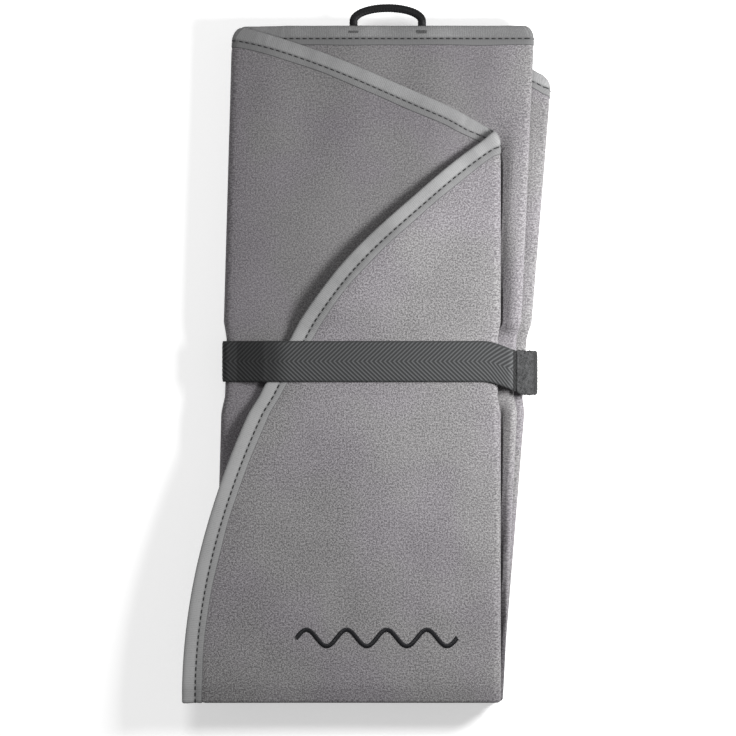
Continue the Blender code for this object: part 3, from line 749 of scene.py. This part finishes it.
cord_paint, start, shader = new_material("black_cord", 0.45)
strand = start.laid_flat().noise(1600.0, 2.0)
cord_color = strand.step(0.3, 0.7).mix(color(.003, .003, .0035), color(.012, .012, .013))
finish_shader(shader, Base_Color=cord_color, Roughness=strand * 0.3 + 0.35,
              Normal=strand.bump(0.0003, 0.5))
faces = grid_faces(CORD_RINGS, CORD_SIDES, False, True)
loop = add_piece("hang_loop_cord", points, faces, cord_paint, laid)
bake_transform(loop)
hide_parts("hang_loop")

# ---------------------------------------------------------------------------- loop bartacks
# Two zigzag bars of black polyester thread, one sewn flat across each foot of the hang loop
# and through the tape. They are coloured a mid grey, so they hardly show.
TACK_THREADS = 11
TACK_RADIUS = 0.00020
TACK_INSET = 0.0003
TACK_SLANT = 0.00025
TACK_SINK = 0.0005
TACK_RISE = 0.0006
tack_paint, start, shader = new_material("tack_thread", 0.8)
tack_mottle = start.on_piece().noise(2500.0, 2.0)
finish_shader(shader, Base_Color=tack_mottle.mix(color(.060, .060, .061), color(.120, .120, .121)))
for name in ("loop_bartack_left", "loop_bartack_right"):
    tack_low, tack_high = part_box(name)
    x = np.linspace(tack_low.x + TACK_INSET, tack_high.x - TACK_INSET, TACK_THREADS)
    across = np.linspace(-1, 1, 7)
    y_half = (tack_high.y - tack_low.y) / 2
    center = np.stack(np.broadcast_arrays(
        x[:, None] + TACK_SLANT * across * (-1.0) ** np.arange(TACK_THREADS)[:, None],
        (tack_low.y + tack_high.y) / 2 + y_half * across,
        tack_low.z - TACK_SINK + TACK_RISE * np.sqrt(1 - 0.98 * across**2)), axis=-1)
    radii = np.broadcast_to(TACK_RADIUS * np.array([.05, .8, 1, 1, 1, .8, .05]), center.shape[:2])
    ways = [np.broadcast_to(np.array(way, float), center.shape) for way in ((1, 0, 0), (0, 0, 1))]
    points, faces = beads(center, *ways, radii)
    tack = add_piece(name + "_threads", points, faces, tack_paint)
    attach(tack, "towel")
    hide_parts(name)

# ------------------------------------------------------------------------------------ strap
# Charcoal webbing, 25 mm wide, woven in two rows of herringbone that meet at its middle. It
# runs from under the tab round the right side, beneath the bundle, up the left side and over
# the top to the tab. It opens by bending where it lies at the left, so it is two pieces.
STRAP_BEND = 0.0030
CORNER_EASE = 0.0015
KNEE_EASE = 0.0009
PLEAT_EASE = 0.0002
STRAP_END_X = 0.0903
HINGE_X = -0.0800
DROOP_START_X = 0.070
DROOP_END_X = 0.098
KNEE_HEIGHT_SHARE = 0.56
HIP_Z = 0.0090
SHOULDER_REACH = (0.0030, 0.0015)
TAB_THICKNESS = 0.0017
TAB_END_Z = 0.0065
LOOP_PATCH = 0.0012
HOOK_PATCH = 0.0010
PATCH_WIDTH = 0.023
PATCH_INSET = 0.0015
FIT_GAP = 0.0003
SPLIT_X = -0.0856
RIB_PITCH = 0.0028
RIB_HEIGHT = 0.00016
SHADE_X = -0.052
WEB_STEPS = 41
PICK_PITCH = 0.00062


def rounded_path(corners, radius, step=math.radians(5)):
    """A polyline with each inner corner replaced by an arc of a radius."""
    pts = [np.array(corner, dtype=float) for corner in corners]
    path = [pts[0][None]]
    for before, corner, after in zip(pts[:-2], pts[1:-1], pts[2:]):
        way_in = (corner - before) / np.linalg.norm(corner - before)
        way_out = (after - corner) / np.linalg.norm(after - corner)
        bend = math.atan2(way_in[0] * way_out[1] - way_in[1] * way_out[0], way_in @ way_out)
        begin = corner - way_in * radius * math.tan(abs(bend) / 2)
        center = begin + np.array([-way_in[1], way_in[0]]) * math.copysign(radius, bend)
        turn = bend * np.linspace(0, 1, max(3, math.ceil(abs(bend) / step)))[:, None]
        arm = begin - center
        side = np.array([-arm[1], arm[0]])
        path.append(center + arm * np.cos(turn) + side * np.sin(turn))
    return np.vstack(path + [pts[-1][None]])


def spaced(path, step):
    """The path again, with its points a step apart."""
    length = travel(path)
    places = np.linspace(0, length[-1], max(2, round(length[-1] / step)))
    return np.stack([np.interp(places, length, path[:, k]) for k in (0, 1)], axis=-1)


def travelled_at(path, axis, value, after=0.0):
    """Length travelled when a path first passes a coordinate, past a first stretch."""
    length = travel(path)
    side = path[:, axis] - value
    k = np.flatnonzero((side[:-1] * side[1:] <= 0) & (length[1:] > after))[0]
    return length[k] + (length[k + 1] - length[k]) * side[k] / (side[k] - side[k + 1])


def part_of(path, start, end):
    """The stretch of a path between two travelled lengths."""
    length = travel(path)
    places = np.linspace(start, end, max(2, round((end - start) / 0.0005)))
    return np.stack([np.interp(places, length, path[:, k]) for k in (0, 1)], axis=-1)


def strap_corners():
    """Corner points in X and Z of the strap's run beneath the bundle and its run over it."""
    low_y = np.array([STRAP_Y - STRAP_WIDTH / 2])
    high_y = np.array([STRAP_Y + STRAP_WIDTH / 2])
    grip = 1 - STRAP_PINCH / ((FACES_BOTTOM[0] - FACES_BOTTOM[1]) / 2)
    across = low_y - HALF_FOLD + TURN_LENGTH
    half = len(EDGE) // 2
    front = np.interp(across, EDGE[:half, 1], EDGE[:half, 0])
    back = np.interp(across, EDGE[:half:-1, 1], EDGE[:half:-1, 0])
    before = sum(stretch(k, low_y) for k in range(last_stretch))
    front_x = float((front + FRONT_TIP)[0]) * grip
    back_x = float((pleat_x(PANELS - 2, low_y) - back + before)[0]) * grip
    left = [float((pleat_x(k, low_y) - FACE_OFFSET)[0]) * grip for k in (1, 3)]
    right = [float((pleat_x(k, high_y) + FACE_OFFSET)[0]) * grip for k in (0, 2, 4)]
    loose = STACK - 2 * SEAT
    press = (loose - PRESS_TOP - PRESS_BOTTOM) / loose
    top, second, raised, low_z = (PRESS_BOTTOM + (z - SEAT) * press for z in (
        STACK - SEAT, STACK - 2 * PITCH - SEAT, 2 * PITCH + SEAT, SEAT))
    reach = STRAP_GAP + STRAP_THICKNESS / 2
    knee = (right[1] + KNEE_EASE, (top + low_z) * KNEE_HEIGHT_SHARE)
    beneath = [(HINGE_X - STRAP_THICKNESS, second + reach),
               (left[0] - reach - PLEAT_EASE, second + reach),
               (left[1] - reach - PLEAT_EASE, raised - reach),
               (back_x - CORNER_EASE, low_z - reach),
               (right[2] + reach, low_z - reach),
               (right[2] + reach, HIP_Z),
               (knee[0] + reach, knee[1]),
               (right[0] + SHOULDER_REACH[0], top - SHOULDER_REACH[1])]
    over = [(HINGE_X, second + reach), (front_x - CORNER_EASE, top + reach)]
    return beneath, over


def strip(path, width, thickness, relief, across_steps, round_ends=0.0, ragged=0.0, first=0.0):
    """A closed strip that follows a path in X and Z. Across it the two faces meet at rounded
    selvedges, and relief(travelled, across) raises both. Its place across follows the droop,
    and first is the length already travelled where the path starts."""
    length = travel(path)
    even = np.linspace(-1, 1, across_steps)
    share = np.sin(even * math.pi / 2) * 0.5 + even * 0.5
    body = np.sqrt(1 - share**10)
    share = np.concatenate([share, share[-2:0:-1]])
    side = np.concatenate([body, -body[-2:0:-1]])
    shrink = np.zeros_like(length)
    if round_ends:
        near = np.minimum(np.minimum(length, length[-1] - length), round_ends)
        shrink = round_ends - np.sqrt(round_ends**2 - (round_ends - near) ** 2)
    half = width / 2 - shrink
    wild = ragged * (np.sin(length / 0.00037) + np.sin(length / 0.00091 + 1)
                     + np.sin(length / 0.0021 + 2)) / 3
    across = share * (half + wild)[:, None]
    travelled = length[:, None] + first
    height = side * (thickness / 2 + relief(travelled, across))
    normal = left_normals(path)
    droop = TAB_DROOP * rise(path[:, 0], DROOP_START_X, DROOP_END_X)
    x = path[:, :1] + normal[:, :1] * height
    z = path[:, 1:] + normal[:, 1:] * height
    y = STRAP_Y - droop[:, None] + across
    points = np.stack([x, y, z], axis=-1)
    laid = np.stack(np.broadcast_arrays(travelled, across, side), axis=-1)
    rows, columns = across.shape
    return points, grid_faces(rows, columns, False, True), laid


def herringbone(travelled, across):
    """Height of the ribs: a saw of rounded ridges whose phase runs back from the midline."""
    phase = (travelled - np.abs(across) * 1.05) / RIB_PITCH
    ridge = np.abs((phase % 1.0) - 0.5) * 2
    calm = 1 - rise(np.abs(across), STRAP_WIDTH / 2 - 0.0016, STRAP_WIDTH / 2 - 0.0006)
    return RIB_HEIGHT * (ridge**1.5 - 0.5) * calm


beneath, over = strap_corners()
beneath = spaced(rounded_path(beneath, STRAP_BEND), 0.0005)[::-1]

# each layer of the closure lies on the one before, out from the end of the run beneath
loop_out = (STRAP_THICKNESS + LOOP_PATCH) / 2 + FIT_GAP
hook_out = loop_out + (LOOP_PATCH + HOOK_PATCH) / 2 + FIT_GAP
tab_out = hook_out + (HOOK_PATCH + TAB_THICKNESS) / 2 + FIT_GAP
tab_path = beneath + tab_out * left_normals(beneath)
tab_start = travelled_at(tab_path, 0, STRAP_END_X)
tab_end = travelled_at(tab_path, 1, TAB_END_Z, tab_start)
ends = part_of(tab_path, tab_start, tab_start + 0.001)
way = (ends[-1] - ends[0]) / np.linalg.norm(ends[-1] - ends[0])
meet = ends[0] - way * FIT_GAP
shoulder = meet + way * (over[-1][1] - meet[1]) / way[1]
over = spaced(rounded_path(over + [shoulder, meet], STRAP_BEND), 0.0005)
whole = np.vstack([beneath[:-1], over])
split = travelled_at(whole, 0, SPLIT_X, travel(whole)[len(beneath) // 2])

web_length = float(travel(whole)[-1])

webbing_paint, start, shader = new_material("strap_webbing", 0.62, sheen=0.04)
web_place = start.laid_flat()
along_web = web_place.split(0)
out_from_middle = web_place.split(1).math("ABSOLUTE")
web_side = start.on_piece().split(0)
phase = (along_web - out_from_middle * 1.05) / RIB_PITCH
wrapped = phase.math("FRACT") - 0.5
crest = wrapped.math("ABSOLUTE") * 2
pick = (out_from_middle * (2 * math.pi / PICK_PITCH)).math("SINE") * 0.5 + 0.5
edge_yarn = out_from_middle.step(STRAP_WIDTH / 2 - 0.0014, STRAP_WIDTH / 2 - 0.0008)
lint = web_place.noise(1100.0, 3.0, 0.6)
# painted highlight on the rib crests (glint); painted shade on the webbing left of SHADE_X, where it
# drops off the front panel's edge away from the light (lit), and on its last 2 to 3 mm, at the gap
# before the tab
glint = crest.step(0.30, 0.95) * (1 - edge_yarn * 0.7) * (lint * 0.8 + 0.6)
lit = web_side.step(SHADE_X - 0.008, SHADE_X + 0.006) * 0.62 + 0.38
end_gap_shade = 1 - along_web.step(web_length - 0.0030, web_length - 0.0020) * 0.9
yarn_light = (glint * 0.75 + 0.30) * lit * end_gap_shade
yarn_color = yarn_light.mix(color(.0060, .0062, .0064), color(.084, .086, .088))
weave_height = crest * 0.5 + pick * 0.2 + lint * 0.3
finish_shader(shader, Base_Color=yarn_color, Roughness=0.8 - crest * 0.25,
              Normal=weave_height.bump(0.0005, 0.7))

for name, start_at, end_at, node in (("strap_beneath", 0.0, split, "strap_back"),
                                     ("strap_over", split, web_length, "strap_front")):
    run = part_of(whole, start_at, end_at)
    points, faces, laid = strip(run, STRAP_WIDTH, STRAP_THICKNESS - RIB_HEIGHT, herringbone,
                                WEB_STEPS, first=start_at)
    piece = add_piece(name, points, faces, webbing_paint, laid)
    if node == "strap_back":
        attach(piece, "towel")
    else:
        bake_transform(piece)
    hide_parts(node)

# -------------------------------------------------------------------------------------- tab
# A napped charcoal tab, a little wider than the strap and sewn to its end. It is cut with
# rounded corners, and its rim has worn darker than its face.
TAB_FUZZ = 0.00022
TAB_STEPS = 60
TAB_TURN_X = 0.1030


def fuzz(travelled, across):
    """Uneven nap: crossed waves of unlike lengths, none of which repeats with another."""
    coarse = (np.sin(travelled / 0.00061 + across / 0.0011)
              * np.sin(across / 0.00052 - travelled / 0.0013))
    fine = np.sin(travelled / 0.00029 + across / 0.00045 + 1) * np.sin(across / 0.00024 + 2)
    return TAB_FUZZ * (0.6 * coarse + 0.4 * fine)


fleece_paint, start, shader = new_material("tab_fleece", 0.95, sheen=0.08)
where = start.on_piece()
nap = where.noise(1300.0, 4.0, 0.7)
clump = where.noise(420.0, 2.0, 0.5)
stray = (nap - 0.5) * 0.0016
to_edge = start.laid_flat().split(1).math("ABSOLUTE") + stray
rim = to_edge.step(TAB_WIDTH / 2 - 0.0016, TAB_WIDTH / 2 - 0.0006)
turn_down = where.split(0) + stray
rim = rim.math("MAXIMUM", turn_down.step(TAB_TURN_X - 0.0016, TAB_TURN_X - 0.0004) * 0.8)
shown = (nap * 0.6 + clump * 0.4).step(0.36, 0.66) * (1 - rim)
finish_shader(shader, Base_Color=shown.mix(color(.009, .0092, .0095), color(.054, .055, .056)),
              Normal=nap.bump(0.0009, 0.8))
tab_run = part_of(tab_path, tab_start + 0.0005, tab_end)
points, faces, laid = strip(tab_run, TAB_WIDTH - 0.0006, TAB_THICKNESS - 0.0002, fuzz, TAB_STEPS,
                            round_ends=0.0032, ragged=0.0004)
tab = add_piece("tab_nap", points, faces, fleece_paint, laid)
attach(tab, "tab")
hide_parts("tab_backing")

# ------------------------------------------------------------------- hook and loop patches
# A patch of moulded nylon hooks is sewn on the tab's inner face. It grips a patch of knitted
# loops on the end of the strap's run beneath. Each is a thin film with rows of bent bristles.
HOOK_PITCH = 0.0011
HOOK_RADIUS = 0.00012
HOOK_BOW = 0.00032
HOOK_STRAY = 0.00012
PATCH_FILM = 0.0005
PATCH_STEPS = 24


def plain_film(travelled, across):
    """No height anywhere on the film."""
    return np.zeros(np.broadcast_shapes(travelled.shape, across.shape))


hook_paint, start, shader = new_material("hook_fastener", 0.4)
hook_color = start.on_piece().noise(900.0).mix(color(.010, .010, .011), color(.024, .024, .025))
finish_shader(shader, Base_Color=hook_color)
loop_paint, start, shader = new_material("loop_fastener", 0.9, sheen=0.3)
knit_loops = start.on_piece().noise(1500.0, 3.0, 0.6)
loop_color = knit_loops.step(0.35, 0.65).mix(color(.014, .014, .015), color(.05, .05, .052))
finish_shader(shader, Base_Color=loop_color, Normal=knit_loops.bump(0.0006, 0.8))
patch_end = tab_end - 2 * PATCH_INSET
rng = np.random.default_rng(4)
for name, node, body, out, thickness, facing, paint in (
        ("hook_tape", "hook_patch", "tab", hook_out, HOOK_PATCH, -1, hook_paint),
        ("loop_tape", "loop_patch", "towel", loop_out, LOOP_PATCH, 1, loop_paint)):
    layer = beneath + out * left_normals(beneath)
    run = part_of(layer, tab_start + PATCH_INSET, patch_end)
    run = run - facing * left_normals(run) * (thickness - PATCH_FILM) / 2
    film, faces, _ = strip(run, PATCH_WIDTH, PATCH_FILM, plain_film, PATCH_STEPS)
    length = travel(run)
    rows = np.arange(0.0008, length[-1] - 0.0008, HOOK_PITCH)
    columns = np.arange(-PATCH_WIDTH / 2 + 0.001, PATCH_WIDTH / 2 - 0.0009, HOOK_PITCH)
    at, across = (grid.ravel() for grid in np.meshgrid(rows, columns))
    at = at + rng.normal(0, HOOK_STRAY, at.shape)
    lean = rng.uniform(-0.4, 0.4, at.shape) + (0 if facing < 0 else rng.uniform(-3, 3, at.shape))
    bow = np.linspace(0, math.pi * 0.9, 6)
    height = (thickness - PATCH_FILM) * 0.9 * np.sin(bow * 0.95) ** 0.6
    shift = HOOK_BOW * (1 - np.cos(bow))
    places = np.clip(at[:, None] + shift * np.cos(lean)[:, None], 0, length[-1])
    normal = left_normals(run)
    px, pz = (np.interp(places, length, run[:, k]) for k in (0, 1))
    nx, nz = (np.interp(places, length, normal[:, k]) for k in (0, 1))
    rise_by = facing * (PATCH_FILM / 2 + height)
    slip = TAB_DROOP * rise(px, DROOP_START_X, DROOP_END_X)
    py = STRAP_Y - slip + across[:, None] + shift * np.sin(lean)[:, None]
    center = np.stack([px + nx * rise_by, py, pz + nz * rise_by], axis=-1)
    radii = np.broadcast_to(HOOK_RADIUS * np.array([1.3, 1.1, 1, 1, .9, .3]), center.shape[:2])
    side_way = np.broadcast_to(np.array([0.0, 1.0, 0.0]), center.shape)
    other_way = np.stack([nz, 0 * nz, -nx], axis=-1)
    bristles, bristle_faces = beads(center, side_way, other_way, radii, 4)
    film = film.reshape(-1, 3)
    points = np.vstack([film, bristles])
    faces = np.vstack([faces, bristle_faces + len(film)])
    patch = add_piece(name, points, faces, paint)
    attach(patch, body)
    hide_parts(node)
    "hook_fastener" if facing < 0 else "loop_fastener"

# --------------------------------------------------------------------------- stitched wave
# Satin stitch in black rayon thread: short threads side by side across a wave, proud of the
# pile and pulled down into it at both ends.
wave_low, wave_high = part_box("wave_embroidery")
CRESTS = 4
STROKE = 0.0032
SATIN_PITCH = 0.00036
SATIN_RADIUS = 0.00023
SATIN_SINK = 0.00035
SATIN_RISE = 0.00085
WAVE_STEPS = 4000
wave_half = (wave_high.y - wave_low.y - STROKE) / 2
wave_y = (wave_high.y + wave_low.y) / 2
phase = np.linspace(0, 2 * math.pi * CRESTS, WAVE_STEPS)
line = np.stack([wave_low.x + (wave_high.x - wave_low.x) * phase / phase[-1],
                 wave_y + wave_half * np.sin(phase)], axis=-1)
line = spaced(line, SATIN_PITCH)
count = len(line)
across = np.linspace(-1, 1, 9)
lean = 0.3 + 0.08 * np.sin(np.arange(count) * 1.7)
square = left_normals(line)
way_x = square[:, :1] * np.cos(lean)[:, None] + square[:, 1:] * np.sin(lean)[:, None]
way_y = square[:, 1:] * np.cos(lean)[:, None] - square[:, :1] * np.sin(lean)[:, None]
reach = STROKE / 2 * (1 + 0.035 * np.sin(np.arange(count) * 2.9))[:, None] * across
x = line[:, :1] + way_x * reach
y = line[:, 1:] + way_y * reach
ground = settle(x, y, np.full_like(x, STACK - SEAT))[..., 2]
z = ground - SATIN_SINK + SATIN_RISE * np.sqrt(1 - 0.99 * across**2)
center = np.stack([x, y, z], axis=-1)
beside = np.broadcast_to(np.stack([way_y, -way_x, 0 * way_x], axis=-1), center.shape)
above = np.broadcast_to(np.array([0.0, 0.0, 1.0]), center.shape)
profile = np.array([.3, .85, 1, 1, 1, 1, 1, .85, .3])
radii = np.broadcast_to(SATIN_RADIUS * profile, center.shape[:2])
points, faces = beads(center, beside, above, radii, 6)

satin_paint, start, shader = new_material("black_thread", 0.38)
ply = start.on_piece().noise(2600.0, 2.0)
finish_shader(shader, Base_Color=ply.mix(color(.006, .006, .007), color(.020, .020, .023)),
              Roughness=ply * 0.25 + 0.28, Normal=ply.bump(0.0002, 0.4))
wave = add_piece("satin_wave", points, faces, satin_paint)
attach(wave, "towel")
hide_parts("wave_embroidery")
